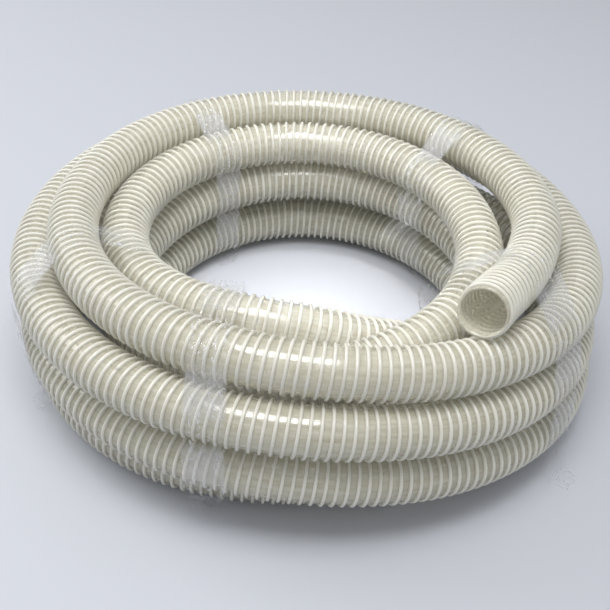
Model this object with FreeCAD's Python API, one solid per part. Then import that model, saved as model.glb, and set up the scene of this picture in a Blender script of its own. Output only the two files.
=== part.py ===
"""Vacuum hose: a ribbed suction hose wound into a coil and tied with clear film.

The hose is one bare length, cut square at both ends. It lies in levels of turns round an open
eye. The outer column of turns rises from the floor to the free end on top. The inner column
rises the other way, to the end that is tucked in. The two columns are one hose and join at the
floor. Units are millimetres, +Z is up, and the coil stands on z = 0.
"""
import FreeCAD
import Part
import math
import os

# ---- the hose ----
OUTER_D = 46.0            # over the spiral rib
BORE_D = 38.0             # nominal 1.5 inch

# ---- the coil ----
POINTS_PER_TURN = 24      # of the route that the hose follows
SHIFT = (-6.66, -17.55, -0.23)    # brings the middle of the coil's foot to the origin

# The coil's centreline at every quarter turn, from the tucked end up, as (distance from the coil's
# axis, height). A row is one turn: front, left, back, right.
STATIONS = [
    (200, 40), (200, 40), (200, 40), (157, 50),
    (120, 126), (171, 130), (180, 135), (167, 134),
    (170, 116), (176, 77), (182, 88), (184, 82),
    (177, 69), (172, 28), (194, 27), (191, 27),
    (202, 27), (246, 26), (242, 27), (268, 28),
    (233, 66), (249, 73), (229, 76), (262, 75),
    (234, 121), (253, 121), (269, 119), (262, 123),
    (210, 164), (214, 156), (231, 148), (217, 162),
    (176, 180), (173, 175), (173, 175), (173, 175),
]
FIRST_TURN = -5.0         # the turn number of the first station
TUCKED_END = -4.125       # in turns, where the hose begins
COIL_END = 2.75           # in turns, where it leaves the coil
# The free end then straightens and climbs over the turn in front of it. These are (x, y, z) from
# the coil's axis and floor, like the stations.
FREE_STRETCH = [
    (205.2, -48.5, 162.3), (191.2, -79.5, 166.0), (175.2, -110.0, 173.3), (158.2, -138.8, 182.8),
    (142.7, -169.8, 193.0),
]

# ---- the clear film that ties the coil ----
FILM = 0.9                # wound thickness of a tie
FILM_GAP = 1.0            # between the hose and a tie
# name: (angle round the coil from the front, clockwise from above, distance from the coil's axis,
# how far the tie turns away from straight out, clockwise too, and width). Angles are in degrees.
TIES = {
    "tie_front_left": (18.5, 208.0, -16.5, 38.0),
    "tie_left": (69.0, 200.0, -8.0, 40.0),
    "tie_back_left": (147.5, 187.0, 5.0, 32.0),
    "tie_back_right": (226.0, 180.0, -10.0, 34.0),
    "tie_right": (300.5, 207.0, 11.5, 46.0),
}


def place(turn, radius, height):
    """The point at this turn, going clockwise from the front (-Y) as seen from above."""
    angle = 2.0 * math.pi * turn
    spot = FreeCAD.Vector(-radius * math.sin(angle), -radius * math.cos(angle), height)
    return spot + FreeCAD.Vector(*SHIFT)


def station(turn):
    """Radius and height at any turn: a smooth curve through the stations."""
    along = (turn - FIRST_TURN) * 4.0
    first = min(max(int(along), 1), len(STATIONS) - 3)
    part = along - first
    before, start, end, after = STATIONS[first - 1:first + 3]

    def blend(p, q, r, s):
        return q + 0.5 * part * (r - p + part * (2 * p - 5 * q + 4 * r - s + part * (3 * (q - r) + s - p)))

    return tuple(blend(*values) for values in zip(before, start, end, after))


def route():
    """Control points of the centreline. They stand a little outside it, because it cuts inside."""
    steps = round((COIL_END - TUCKED_END) * POINTS_PER_TURN)
    outside = 1.0 / math.cos(math.pi / POINTS_PER_TURN)
    points = []
    for step in range(steps + 1):
        turn = TUCKED_END + step / POINTS_PER_TURN
        radius, height = station(turn)
        points.append(place(turn, radius * outside, height))
    for spot in FREE_STRETCH:
        points.append(FreeCAD.Vector(*spot) + FreeCAD.Vector(*SHIFT))
    return points


def corner(before, point, after):
    """The tangent arc at a point of the route: its start, middle, end and radius."""
    back = (before - point).normalize()
    ahead = (after - point).normalize()
    half_turn = (math.pi - back.getAngle(ahead)) / 2.0
    reach = 0.45 * min(before.distanceToPoint(point), after.distanceToPoint(point))
    radius = reach / math.tan(half_turn)
    inward = (back + ahead).normalize()
    middle = point + inward * (radius / math.cos(half_turn) - radius)
    return point + back * reach, middle, point + ahead * reach, radius


def path_wire(points, first, last):
    """Straight runs joined by tangent arcs, from mid-run to mid-run, or to the hose's own ends."""
    start = points[0] if first == 0 else (points[first] + points[first - 1]) * 0.5
    edges = []
    radii = []
    for index in range(max(first, 1), last):
        arc_start, middle, arc_end, radius = corner(*points[index - 1:index + 2])
        edges.append(Part.LineSegment(start, arc_start).toShape())
        edges.append(Part.Arc(arc_start, middle, arc_end).toShape())
        radii.append(radius)
        start = arc_end
    end = points[last] if last == len(points) - 1 else (points[last] + points[last - 1]) * 0.5
    edges.append(Part.LineSegment(start, end).toShape())
    return Part.Wire(edges), radii


def hose_length(points, first, last):
    """A plain hollow tube along a stretch of the route."""
    wire, radii = path_wire(points, first, last)
    start = wire.Edges[0].Vertexes[0].Point
    along = wire.Edges[0].tangentAt(wire.Edges[0].FirstParameter)
    rims = [Part.Wire(Part.makeCircle(d / 2.0, start, along)) for d in (OUTER_D, BORE_D)]
    section = Part.Face(rims)
    tube = wire.makePipe(section)
    ratio = tube.Volume / (section.Area * wire.Length)
    return tube, wire.Length, ratio, radii


def hull(points):
    """The convex outline round flat (radius, height) points."""
    ordered = sorted(set(points))

    def half(row):
        side = []
        for point in row:
            while len(side) > 1 and turn_of(side[-2], side[-1], point) <= 0:
                side.pop()
            side.append(point)
        return side[:-1]

    return half(ordered) + half(ordered[::-1])


def turn_of(a, b, c):
    return (b[0] - a[0]) * (c[1] - a[1]) - (b[1] - a[1]) * (c[0] - a[0])


def tie(centreline, angle, radius, lean, width):
    """A closed band of film pulled tight round every turn of the bundle at one place."""
    outward = place((angle + lean) / 360.0, 1.0, 0.0) - place(0.0, 0.0, 0.0)
    centre = place(angle / 360.0, radius, 0.0) - outward * radius
    along = FreeCAD.Vector(0, 0, 1).cross(outward)
    flat = []
    for point in centreline:
        spot = point - centre
        if spot.dot(outward) > 0 and abs(spot.dot(along)) < width / 2.0 + 12.0:
            flat.append((round(spot.dot(outward), 2), round(spot.z, 2)))
    corners = []
    for r, z in hull(flat):
        corner_spot = centre + outward * r + FreeCAD.Vector(0, 0, z)
        if not corners or min(corner_spot.distanceToPoint(c) for c in (corners[0], corners[-1])) > 1.5:
            corners.append(corner_spot)
    core = Part.Face(Part.makePolygon(corners + corners[:1]))
    inner = core.makeOffset2D(OUTER_D / 2.0 + FILM_GAP)
    outer = core.makeOffset2D(OUTER_D / 2.0 + FILM_GAP + FILM)
    band = outer.extrude(along * width).cut(inner.extrude(along * width))
    band.translate(along * (-width / 2.0))
    return band


def main():
    os.makedirs("parts", exist_ok=True)
    points = route()
    total = 0.0
    turns = (len(points) - 1) // POINTS_PER_TURN
    for number in range(turns):
        first = number * POINTS_PER_TURN
        last = first + POINTS_PER_TURN if number < turns - 1 else len(points) - 1
        tube, length, ratio, radii = hose_length(points, first, last)
        tube.exportStep("parts/hose_turn_%d.step" % (number + 1))
        total += length
        print("turn %d: %.0f mm, volume ratio %.4f, arc radii %.0f to %.0f mm"
              % (number + 1, length, ratio, min(radii), max(radii)))
    print("hose length %.0f mm" % total)
    centreline = path_wire(points, 0, len(points) - 1)[0].discretize(Distance=2.0)
    for name, sizes in TIES.items():
        tie(centreline, *sizes).exportStep("parts/%s.step" % name)


main()
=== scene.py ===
"""The looks of the vacuum hose: clear cream wall, white spiral rib and the film that ties it.

Everything is in metres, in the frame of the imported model. The hose follows one smooth line with
the same control points as the solid model. Its wall and its rib are swept along that line, and
each tie is a strip of film wound round the bundle of turns.
"""
import math

import bmesh
import bpy
import numpy as np
from mathutils import Matrix, Vector, noise


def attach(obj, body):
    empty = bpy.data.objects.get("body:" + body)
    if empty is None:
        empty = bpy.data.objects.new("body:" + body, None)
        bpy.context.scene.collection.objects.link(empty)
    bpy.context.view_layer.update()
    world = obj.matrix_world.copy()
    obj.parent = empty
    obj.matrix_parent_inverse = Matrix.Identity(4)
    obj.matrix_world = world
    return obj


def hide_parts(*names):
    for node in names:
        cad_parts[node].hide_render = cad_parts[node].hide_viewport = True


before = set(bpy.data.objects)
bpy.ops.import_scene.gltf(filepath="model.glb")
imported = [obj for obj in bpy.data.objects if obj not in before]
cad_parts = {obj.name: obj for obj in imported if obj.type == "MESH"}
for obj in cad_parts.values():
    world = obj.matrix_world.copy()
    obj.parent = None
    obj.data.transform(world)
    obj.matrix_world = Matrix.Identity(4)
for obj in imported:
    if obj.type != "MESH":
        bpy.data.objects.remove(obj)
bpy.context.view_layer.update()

MM = 0.001

# ---- the hose ----
OUTER_R = 23.0 * MM       # over the spiral rib
WALL_R = 21.0 * MM
BORE_R = 19.0 * MM
RIB_PITCH = 8.2 * MM
RIB_WIDTH = 3.1 * MM
WALL_STEP = 6.0 * MM      # between the wall's rings
WALL_SIDES = 32
RIB_STEPS = 36            # for each time round
# the rib's half-round section, as (across in half widths, height in how far it stands proud)
RIB_SECTION = [
    (-1.0, -0.3), (-0.97, 0.35), (-0.66, 0.84), (0.0, 1.0), (0.66, 0.84), (0.97, 0.35), (1.0, -0.3),
]

# ---- its route, as in the solid model, in millimetres ----
POINTS_PER_TURN = 24
SHIFT = (-6.66, -17.55, -0.23)
STATIONS = [
    (200, 40), (200, 40), (200, 40), (157, 50),
    (120, 126), (171, 130), (180, 135), (167, 134),
    (170, 116), (176, 77), (182, 88), (184, 82),
    (177, 69), (172, 28), (194, 27), (191, 27),
    (202, 27), (246, 26), (242, 27), (268, 28),
    (233, 66), (249, 73), (229, 76), (262, 75),
    (234, 121), (253, 121), (269, 119), (262, 123),
    (210, 164), (214, 156), (231, 148), (217, 162),
    (176, 180), (173, 175), (173, 175), (173, 175),
]
FIRST_TURN = -5.0
TUCKED_END = -4.125
COIL_END = 2.75
FREE_STRETCH = [
    (205.2, -48.5, 162.3), (191.2, -79.5, 166.0), (175.2, -110.0, 173.3), (158.2, -138.8, 182.8),
    (142.7, -169.8, 193.0),
]

# ---- the film ----
FILM = 0.12 * MM
FILM_CLEAR = 0.9 * MM     # between the ribs and a tie
FILM_LAYER = 0.25 * MM    # how much further out each time round lies
FILM_STEP = 3.0 * MM      # between the film's rows
FILM_COLUMNS = 27
HULL_REACH = 12.0 * MM    # how far past its edges a tie feels the hose
SLACK_SPAN = 6.0 * MM     # film that spans more than this is slack
# name: angle round the coil and distance from its axis, how far the tie turns away from straight
# out, width, times round, the way the film's face looks where its end comes loose (0 out, 90 up,
# 180 into the eye), which way it was wound, and the loose end's points as (out, up) from there
TIES = {
    "tie_front_left": (18.5, 208.0, -16.5, 34.0, 1.45, -35.0, -1,
                       [(-4, -12), (-13, -20), (-20, -23)]),
    "tie_left": (69.0, 200.0, -8.0, 36.0, 1.4, -12.0, -1, [(2, -16), (6, -30), (10, -38)]),
    "tie_back_left": (147.5, 187.0, 5.0, 28.0, 1.35, 200.0, 1, [(3, -12), (2, -22)]),
    "tie_back_right": (226.0, 180.0, -10.0, 30.0, 1.45, 190.0, 1,
                       [(-6, -14), (-18, -26), (-32, -34), (-44, -37)]),
    "tie_right": (300.5, 207.0, 11.5, 42.0, 1.45, -5.0, -1,
                  [(2, -24), (8, -44), (16, -60), (24, -64)]),
}


def place(turn, radius, height):
    """The point at this turn, clockwise from the front (-Y) as seen from above."""
    angle = 2.0 * math.pi * turn
    spot = Vector((-radius * math.sin(angle), -radius * math.cos(angle), height))
    return (spot + Vector(SHIFT)) * MM


def station(turn):
    """Radius and height in millimetres at any turn: a smooth curve through the stations."""
    along = (turn - FIRST_TURN) * 4.0
    first = min(max(int(along), 1), len(STATIONS) - 3)
    part = along - first
    before, start, end, after = STATIONS[first - 1:first + 3]

    def blend(p, q, r, s):
        return q + 0.5 * part * (r - p + part * (2 * p - 5 * q + 4 * r - s + part * (3 * (q - r) + s - p)))

    return tuple(blend(*values) for values in zip(before, start, end, after))


def route():
    """Control points of the hose's line, which cuts a little inside them."""
    steps = round((COIL_END - TUCKED_END) * POINTS_PER_TURN)
    outside = 1.0 / math.cos(math.pi / POINTS_PER_TURN)
    points = []
    for step in range(steps + 1):
        turn = TUCKED_END + step / POINTS_PER_TURN
        radius, height = station(turn)
        points.append(place(turn, radius * outside, height))
    return points + [(Vector(spot) + Vector(SHIFT)) * MM for spot in FREE_STRETCH]


def smooth_line(points):
    """Points read from the NURBS spline through a list of control points."""
    curve = bpy.data.curves.new("line", "CURVE")
    curve.dimensions = "3D"
    curve.resolution_u = 24
    spline = curve.splines.new("NURBS")
    spline.points.add(len(points) - 1)
    for knot, point in zip(spline.points, points):
        knot.co = (*point, 1.0)
    spline.order_u = 3
    spline.use_endpoint_u = True
    holder = bpy.data.objects.new("line", curve)
    mesh = bpy.data.meshes.new_from_object(holder)
    line = np.array([v.co for v in mesh.vertices])
    bpy.data.objects.remove(holder)
    bpy.data.curves.remove(curve)
    bpy.data.meshes.remove(mesh)
    return line


class Line:
    """A line that can be asked for its place, direction and a steady cross direction."""

    def __init__(self, points):
        steps = np.linalg.norm(np.diff(points, axis=0), axis=1)
        points = points[np.concatenate([[True], steps > 1e-9])]
        self.points = points
        self.along = np.concatenate([[0.0], np.cumsum(np.linalg.norm(np.diff(points, axis=0), axis=1))])
        self.length = float(self.along[-1])
        tangents = np.gradient(points, self.along, axis=0)
        self.tangents = tangents / np.linalg.norm(tangents, axis=1)[:, None]
        self.sides = self.steady_sides()

    def steady_sides(self):
        """A cross direction that doesn't twist as it goes along."""
        side = np.cross(self.tangents[0], (0.0, 0.0, 1.0))
        sides = []
        for tangent in self.tangents:
            side = side - tangent * side.dot(tangent)
            side = side / np.linalg.norm(side)
            sides.append(side)
        return np.array(sides)

    def at(self, distance):
        """Places, directions and two cross directions at these distances along the line."""
        spot, ahead, side = [
            np.stack([np.interp(distance, self.along, rows[:, k]) for k in range(3)], axis=1)
            for rows in (self.points, self.tangents, self.sides)]
        ahead /= np.linalg.norm(ahead, axis=1)[:, None]
        side -= ahead * (side * ahead).sum(axis=1)[:, None]
        side /= np.linalg.norm(side, axis=1)[:, None]
        return spot, ahead, side, np.cross(ahead, side)


def grid_piece(name, places, lengths, material, closed=False):
    """A grid of quads moved onto rows of places, its seams merged and its ends closed if it is a
    tube. Its UV map gives distances in metres: along the rows' order, then across."""
    rows, columns = places.shape[:2]
    bm = bmesh.new()
    bm.loops.layers.uv.new("UVMap")
    bmesh.ops.create_grid(bm, x_segments=columns - 1, y_segments=rows - 1, size=1.0, calc_uvs=True)
    mesh = bpy.data.meshes.new(name)
    bm.to_mesh(mesh)
    bm.free()
    mesh.vertices.foreach_set("co", places.reshape(-1).astype(np.float32))
    layer = mesh.uv_layers["UVMap"].data
    corners = np.empty(len(layer) * 2, dtype=np.float32)
    layer.foreach_get("uv", corners)
    across, along = lengths
    corners = corners.reshape(-1, 2)
    row = np.rint(corners[:, 1] * (rows - 1)).astype(int)
    column = np.rint(corners[:, 0] * (columns - 1)).astype(int)
    layer.foreach_set("uv", np.stack([along[row], across[column]], axis=1).astype(np.float32).reshape(-1))
    bm = bmesh.new()
    bm.from_mesh(mesh)
    if closed:
        bmesh.ops.remove_doubles(bm, verts=bm.verts, dist=1e-6)
        bmesh.ops.holes_fill(bm, edges=[edge for edge in bm.edges if edge.is_boundary], sides=0)
        bmesh.ops.recalc_face_normals(bm, faces=bm.faces)
    for face in bm.faces:
        face.smooth = True
    bm.to_mesh(mesh)
    bm.free()
    obj = bpy.data.objects.new(name, mesh)
    bpy.context.scene.collection.objects.link(obj)
    mesh.materials.append(material)
    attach(obj, "root")
    return obj


# ---- materials ----
def material(name, **sockets):
    """A Principled material whose plain values sit on the shader's own sockets."""
    made = bpy.data.materials.new(name)
    made.use_nodes = True
    shader = made.node_tree.nodes["Principled BSDF"]
    for socket, value in sockets.items():
        shader.inputs[socket.replace("_", " ")].default_value = value
    return made, made.node_tree, shader


def node(tree, kind, **settings):
    """A new node with its settings, and its inputs where a name is a socket."""
    made = tree.nodes.new(kind)
    for name, value in settings.items():
        label = name.replace("_", " ")
        if label in made.inputs:
            made.inputs[label].default_value = value
        else:
            setattr(made, name, value)
    return made


def stretched_noise(tree, scale, detail=3.0, roughness=0.6):
    """Noise on the piece's own UV map, stretched by a scale along and across it."""
    place_on = node(tree, "ShaderNodeUVMap", uv_map="UVMap")
    stretch = node(tree, "ShaderNodeMapping")
    stretch.inputs["Scale"].default_value = (*scale, 1.0)
    tree.links.new(place_on.outputs["UV"], stretch.inputs["Vector"])
    made = node(tree, "ShaderNodeTexNoise", Scale=1.0, Detail=detail, Roughness=roughness)
    tree.links.new(stretch.outputs["Vector"], made.inputs["Vector"])
    return made


def ramp(tree, source, stops):
    """Turns a value into a colour: stops are (position, colour or grey)."""
    made = node(tree, "ShaderNodeValToRGB")
    for element, (position, colour) in zip(made.color_ramp.elements, (stops[0], stops[-1])):
        element.position = position
        element.color = colour if isinstance(colour, tuple) else (colour, colour, colour, 1.0)
    for position, colour in stops[1:-1]:
        element = made.color_ramp.elements.new(position)
        element.color = colour if isinstance(colour, tuple) else (colour, colour, colour, 1.0)
    tree.links.new(source, made.inputs["Fac"])
    return made.outputs["Color"]


def wall_material():
    """Clear cream wall whose base colour carries painted reflection: faint lighter and darker streaks
    along the hose stand in for reflections inside the clear wall, and the same streaks vary its milkiness
    and give it a faint bump. The far side shows through.
    """
    made, tree, shader = material(
        "clear_wall", Roughness=0.10, IOR=1.9, Coat_Weight=1.0, Coat_Roughness=0.04)
    painted_reflection_streaks = stretched_noise(tree, (30.0, 260.0))
    # painted reflection: the streak noise lightens and darkens the cream base colour in place of
    # reflections inside the wall
    tint = ramp(tree, painted_reflection_streaks.outputs["Fac"],
                [(0.3, (0.84, 0.80, 0.63, 1.0)), (0.7, (0.90, 0.87, 0.73, 1.0))])
    tree.links.new(tint, shader.inputs["Base Color"])
    milk = ramp(tree, painted_reflection_streaks.outputs["Fac"], [(0.3, 0.34), (0.7, 0.48)])
    tree.links.new(milk, shader.inputs["Alpha"])
    bump = node(tree, "ShaderNodeBump", Strength=0.15, Distance=0.0004)
    tree.links.new(painted_reflection_streaks.outputs["Fac"], bump.inputs["Height"])
    tree.links.new(bump.outputs["Normal"], shader.inputs["Normal"])
    return made


def rib_material():
    """Smooth rigid white plastic, a little warm."""
    made, tree, shader = material(
        "white_rib", Roughness=0.25, IOR=1.5, Coat_Weight=0.2, Coat_Roughness=0.1)
    spot = node(tree, "ShaderNodeTexCoord")
    patches = node(tree, "ShaderNodeTexNoise", Scale=45.0, Detail=3.0)
    tree.links.new(spot.outputs["Object"], patches.inputs["Vector"])
    tint = ramp(tree, patches.outputs["Fac"],
                [(0.35, (0.72, 0.70, 0.61, 1.0)), (0.7, (0.78, 0.77, 0.70, 1.0))])
    tree.links.new(tint, shader.inputs["Base Color"])
    return made


def film_material():
    """Thin clear film: nearly clear where it lies tight, hazy where it spans or is creased, with
    sharp glints."""
    made, tree, shader = material(
        "clear_film", Roughness=0.09, IOR=1.7, Coat_Weight=1.0, Coat_Roughness=0.03)
    shader.inputs["Base Color"].default_value = (0.86, 0.87, 0.90, 1.0)
    creases = stretched_noise(tree, (22.0, 380.0), detail=5.0, roughness=0.7)
    crumple = stretched_noise(tree, (190.0, 210.0), detail=4.0, roughness=0.65)
    mix = node(tree, "ShaderNodeMath", operation="MULTIPLY")
    tree.links.new(creases.outputs["Fac"], mix.inputs[0])
    tree.links.new(crumple.outputs["Fac"], mix.inputs[1])
    lines = node(tree, "ShaderNodeMapRange", From_Min=0.30, From_Max=0.42, To_Min=0.0, To_Max=0.80)
    tree.links.new(mix.outputs["Value"], lines.inputs["Value"])
    slack = node(tree, "ShaderNodeAttribute", attribute_name="slack")
    haze = node(tree, "ShaderNodeMath", operation="MULTIPLY_ADD")
    haze.inputs[1].default_value = 0.10
    tree.links.new(slack.outputs["Fac"], haze.inputs[0])
    tree.links.new(lines.outputs["Result"], haze.inputs[2])
    tree.links.new(haze.outputs["Value"], shader.inputs["Alpha"])
    bump = node(tree, "ShaderNodeBump", Strength=1.0, Distance=0.002)
    tree.links.new(mix.outputs["Value"], bump.inputs["Height"])
    tree.links.new(bump.outputs["Normal"], shader.inputs["Normal"])
    return made


WALL = wall_material()
RIB = rib_material()
CLEAR_FILM = film_material()


# ---- the hose ----
def hose_wall(line):
    """The soft wall as one tube with its bore, closed round both cut rims."""
    distances = np.linspace(0.0, line.length, round(line.length / WALL_STEP) + 1)
    spot, ahead, side, up = line.at(distances)
    angles = np.linspace(0.0, 2.0 * math.pi, WALL_SIDES + 1)
    spokes = side[:, None] * np.cos(angles)[None, :, None] + up[:, None] * np.sin(angles)[None, :, None]
    outer = spot[:, None] + WALL_R * spokes
    inner = spot[::-1, None] + BORE_R * spokes[::-1]
    places = np.concatenate([outer, inner, outer[:1]])
    lengths = np.concatenate([distances, distances[::-1], distances[:1]])
    return grid_piece("hose_wall", places, (angles * WALL_R, lengths), WALL, closed=True), spot


def rib_stretch(name, line, start, end):
    """The half-round rib wound round the wall between two distances along the hose."""
    steps = round((end - start) / RIB_PITCH * RIB_STEPS)
    distances = np.linspace(start, end, steps + 1)
    spot, ahead, side, up = line.at(distances)
    angles = -2.0 * math.pi * distances / RIB_PITCH
    spoke = side * np.cos(angles)[:, None] + up * np.sin(angles)[:, None]
    half = RIB_WIDTH / 2.0
    proud = OUTER_R - WALL_R
    rows = [spot + spoke * (WALL_R + proud * height) + ahead * (half * across)
            for across, height in RIB_SECTION]
    places = np.stack(rows + rows[:1], axis=1)
    across = np.linspace(0.0, 4.0 * RIB_WIDTH, places.shape[1])
    return grid_piece(name, places, (across, distances), RIB, closed=True)


def make_hose():
    line = Line(smooth_line(route()))
    wall, centres = hose_wall(line)
    turns = [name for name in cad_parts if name.startswith("hose_turn")]
    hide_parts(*turns)
    inset = RIB_PITCH * 0.3
    edges = np.linspace(inset, line.length - inset, len(turns) + 1)
    for number, (start, end) in enumerate(zip(edges, edges[1:]), 1):
        rib = rib_stretch("hose_rib_%d" % number, line, start, end)
    return line


# ---- the film ties ----
def tie_loop(line, angle, radius, lean, width):
    """The loop that film pulled tight makes round every turn at one place. Gives its foot, the
    directions out and across, and the loop's places, faces and slackness round its girth."""
    axis = np.array(place(0.0, 0.0, 0.0))
    out = np.array(place((angle + lean) / 360.0, 1000.0, 0.0)) - axis
    out = out / np.linalg.norm(out)
    axis = np.array(place(angle / 360.0, radius, 0.0)) - out * radius * MM
    across = np.cross((0.0, 0.0, 1.0), out)
    near = line.points - axis
    near = near[(near @ out > 0) & (abs(near @ across) < width / 2.0 + HULL_REACH)]
    flat = np.stack([near @ out, near[:, 2]], axis=1)
    looks = np.linspace(0.0, 2.0 * math.pi, 1441)
    faces = np.stack([np.cos(looks), np.sin(looks)], axis=1)
    held = flat[np.argmax(flat @ faces.T, axis=0)]
    loop = held + (OUTER_R + FILM_CLEAR) * faces
    girth = np.concatenate([[0.0], np.cumsum(np.linalg.norm(np.diff(loop, axis=0), axis=1))])
    spans = np.linalg.norm(np.diff(held, axis=0), axis=1)
    dense = np.linspace(0.0, girth[-1], 1200)
    slack = np.zeros(len(dense))
    for index in np.flatnonzero(spans > SLACK_SPAN):
        inside = np.clip((dense - girth[index]) / (girth[index + 1] - girth[index]), 0.0, 1.0)
        slack += np.sin(math.pi * inside) * spans[index]
    loop = np.stack([np.interp(dense, girth, loop[:, k]) for k in (0, 1)], axis=1)
    faces = np.stack([np.interp(dense, girth, faces[:, k]) for k in (0, 1)], axis=1)
    looks = np.interp(dense, girth, looks)
    return axis, out, across, dense, loop, faces, slack, looks


def rough(points, size, seed):
    """Smooth noise from -1 to 1 at flat points, with its own size along each direction."""
    return np.array([noise.noise((a / size[0] + seed * 7.3, b / size[1] + seed * 3.1, seed * 1.7))
                     for a, b in points])


def make_tie(name, line, number):
    angle, radius, lean, width, rounds, leaves, sense, loose = TIES[name]
    width *= MM
    axis, out, across, girth, loop, faces, slack, looks = tie_loop(line, angle, radius, lean, width)
    around = girth[-1]
    end = float(np.interp(math.radians(leaves % 360.0), looks, girth))
    wound = rounds * around
    travel = np.linspace(0.0, wound, round(wound / FILM_STEP) + 1)
    where = (end + sense * (travel - wound)) % around
    spots = np.stack([np.interp(where, girth, loop[:, k]) for k in (0, 1)], axis=1)
    normals = np.stack([np.interp(where, girth, faces[:, k]) for k in (0, 1)], axis=1)
    sag = np.interp(where, girth, slack)
    layer = FILM_LAYER * travel / around
    # the loose end goes on from the last place of the wound part
    start = spots[-1] + normals[-1] * layer[-1]
    tail = [(*(start + np.array(p) * MM), 0.0) for p in [(0, 0)] + loose]
    tail = Line(smooth_line([Vector(p) for p in tail]))
    extra = np.linspace(0.0, tail.length, max(round(tail.length / (2.0 * MM)), 4) + 1)[1:]
    tail_spots, tail_ahead, _, _ = tail.at(extra)
    tail_normals = np.stack([tail_ahead[:, 1], -tail_ahead[:, 0]], axis=1)
    if (tail_normals[0] * normals[-1]).sum() < 0:
        tail_normals = -tail_normals
    freedom = np.concatenate([np.zeros(len(travel)), np.linspace(0.0, 1.0, len(extra))])
    spots = np.concatenate([spots + normals * layer[:, None], tail_spots[:, :2]])
    normals = np.concatenate([normals, tail_normals])
    sag = np.concatenate([sag, np.zeros(len(extra))])
    travel = np.concatenate([travel, wound + extra])
    spread = np.linspace(-0.5, 0.5, FILM_COLUMNS)
    drift = 5.0 * MM * rough([(t, 0.5) for t in travel], (120 * MM, 1.0), number + 20)
    pinch = 0.9 + 0.22 * rough([(t, 0.0) for t in travel], (45 * MM, 1.0), number)
    pinch *= 1.0 - 0.45 * freedom
    flat = [(t, v * width) for t in travel for v in spread]
    shape = (len(travel), FILM_COLUMNS)
    long_folds = rough(flat, (55 * MM, 3.2 * MM), number).reshape(shape)
    fine = rough(flat, (14 * MM, 1.6 * MM), number + 9).reshape(shape)
    broad = rough(flat, (30 * MM, 14 * MM), number + 4).reshape(shape)
    edge = np.abs(spread * 2.0)[None, :] ** 6
    frill = rough(flat, (6 * MM, 30 * MM), number + 2).reshape(shape)
    bridge = np.clip(sag / (40 * MM), 0.0, 1.0)[:, None]
    loose_part = freedom[:, None]
    lift = (0.45 + 0.45 * long_folds + 0.30 * fine) * MM
    lift += bridge * (1.0 * long_folds + 0.4 * fine - 0.8) * MM
    lift += edge * (0.5 + 0.5 * frill) * 1.2 * MM
    lift += loose_part * (2.6 * broad + 2.2 * long_folds + 1.8 * frill) * MM
    lift = np.where(loose_part > 0, lift, np.maximum(lift, np.where(bridge > 0, -2.5 * MM, 0.02 * MM)))
    side = spread[None, :] * width * pinch[:, None] + drift[:, None]
    flat_places = spots[:, None, :] + normals[:, None, :] * lift[:, :, None]
    flat_places[:, :, 1] = np.maximum(flat_places[:, :, 1], 0.4 * MM)
    places = (axis + out * flat_places[:, :, :1] + across * side[:, :, None]
              + np.array((0.0, 0.0, 1.0)) * (flat_places[:, :, 1:] - axis[2]))
    film = grid_piece(name + "_film", places, (spread * width, travel), CLEAR_FILM)
    haze = np.clip(bridge + 0.35 * loose_part + 0.25 * edge, 0.0, 1.0)
    film.data.attributes.new("slack", "FLOAT", "POINT").data.foreach_set(
        "value", haze.reshape(-1).astype(np.float32))
    skin = film.modifiers.new("film", "SOLIDIFY")
    skin.thickness = FILM
    skin.offset = 0.0
    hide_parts(name)
    return film


# ---- floor, light and camera ----
def stage():
    bm = bmesh.new()
    bmesh.ops.create_grid(bm, x_segments=1, y_segments=1, size=6.0)
    floor = bpy.data.meshes.new("floor")
    bm.to_mesh(floor)
    bm.free()
    made, tree, shader = material("floor", Roughness=0.6)
    shader.inputs["Base Color"].default_value = (0.56, 0.58, 0.63, 1.0)
    ground = bpy.data.objects.new("floor", floor)
    floor.materials.append(made)
    bpy.context.scene.collection.objects.link(ground)


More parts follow.
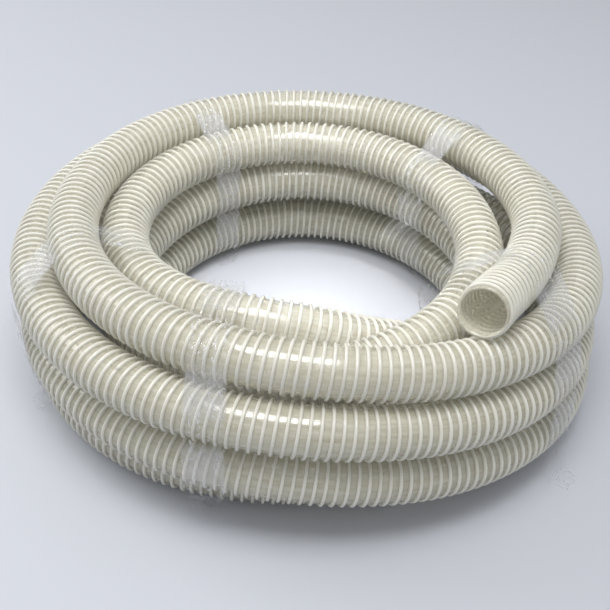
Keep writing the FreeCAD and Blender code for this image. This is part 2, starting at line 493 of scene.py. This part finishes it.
def softbox(name, centre, target, size, power, spread=180.0):
    """A rectangular area light that faces a target, spreading by an angle in degrees."""
    lamp = bpy.data.lights.new(name, "AREA")
    lamp.shape = "RECTANGLE"
    lamp.size, lamp.size_y = size
    lamp.energy = power
    lamp.spread = math.radians(spread)
    light = bpy.data.objects.new(name, lamp)
    light.location = centre
    light.rotation_euler = (Vector(target) - Vector(centre)).to_track_quat("-Z", "Y").to_euler()
    bpy.context.scene.collection.objects.link(light)


def lights():
    world = bpy.data.worlds.new("studio")
    bpy.context.scene.world = world
    world.use_nodes = True
    sky = world.node_tree.nodes["Background"]
    sky.inputs["Color"].default_value = (0.97, 0.98, 1.0, 1.0)
    # the sky is brighter overhead than round the horizon
    tree = world.node_tree
    look = node(tree, "ShaderNodeTexCoord")
    parts = node(tree, "ShaderNodeSeparateXYZ")
    tree.links.new(look.outputs["Generated"], parts.inputs["Vector"])
    glow = node(tree, "ShaderNodeMapRange", From_Min=0.0, From_Max=1.0, To_Min=0.14, To_Max=0.84)
    tree.links.new(parts.outputs["Z"], glow.inputs["Value"])
    tree.links.new(glow.outputs["Result"], sky.inputs["Strength"])
    softbox("overhead", (-0.08, -0.38, 1.80), (-0.06, 0.10, 0.0), (0.85, 0.70), 16.5)
    softbox("into_the_eye", (0.0, 0.0, 1.6), (0.0, 0.0, 0.0), (0.18, 0.18), 0.20, spread=14.0)
    softbox("left_side", (-1.9, 0.7, 1.1), (0, 0.1, 0.1), (1.4, 1.4), 20.0)
    bpy.context.scene.cycles.transparent_max_bounces = 32
    bpy.context.scene.view_settings.view_transform = "Standard"


def camera():
    """Looks down on the coil from the front, a little tilted; the lens sees about 35 degrees."""
    lens = bpy.data.cameras.new("camera")
    lens.sensor_width = 36.0
    lens.lens = 56.53
    eye = bpy.data.objects.new("camera", lens)
    bpy.context.scene.collection.objects.link(eye)
    ahead = Vector((-0.0016, 0.7727, -0.6347)).normalized()
    right = ahead.cross(Vector((-0.0468, 0.634, 0.7719))).normalized()
    turn = Matrix((right, right.cross(ahead), -ahead)).transposed().to_4x4()
    eye.matrix_world = Matrix.Translation((-0.0010, -0.7624, 0.6647)) @ turn
    bpy.context.scene.camera = eye


def main():
    line = make_hose()
    for number, name in enumerate(TIES):
        make_tie(name, line, number)
    stage()
    lights()
    camera()


main()
